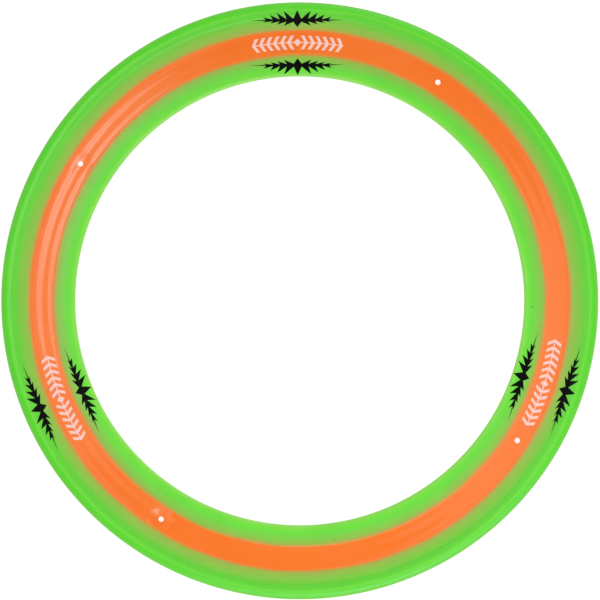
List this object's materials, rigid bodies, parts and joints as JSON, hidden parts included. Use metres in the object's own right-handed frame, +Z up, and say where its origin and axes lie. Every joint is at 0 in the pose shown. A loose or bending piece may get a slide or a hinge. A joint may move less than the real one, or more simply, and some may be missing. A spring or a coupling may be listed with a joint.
{
  "type": "flying ring",
  "caption": "Flat throwing ring for lawn games: a rigid moulded band between soft inner and outer rims, with a raised outer lip and printed marks.",
  "frame": {"origin": "centre of the ring, on the plane it lies on", "axes": "+Z up through the ring's centre, out of the printed face; +Y towards the first station of printed marks"},
  "size_m": [0.33, 0.33, 0.0042],
  "materials": {
    "core_plastic": "satin",
    "rim_rubber": "satin",
    "dark_ink": "matte",
    "pale_ink": "satin"
  },
  "bodies": {
    "root": {"core_ring": "core_plastic", "outer_rim": "rim_rubber", "inner_rim": "rim_rubber", "outer_motif_1": "dark_ink", "inner_motif_1": "dark_ink", "chevron_row_1": "pale_ink", "outer_motif_2": "dark_ink", "inner_motif_2": "dark_ink", "chevron_row_2": "pale_ink", "outer_motif_3": "dark_ink", "inner_motif_3": "dark_ink", "chevron_row_3": "pale_ink"}
  },
  "joints": []
}
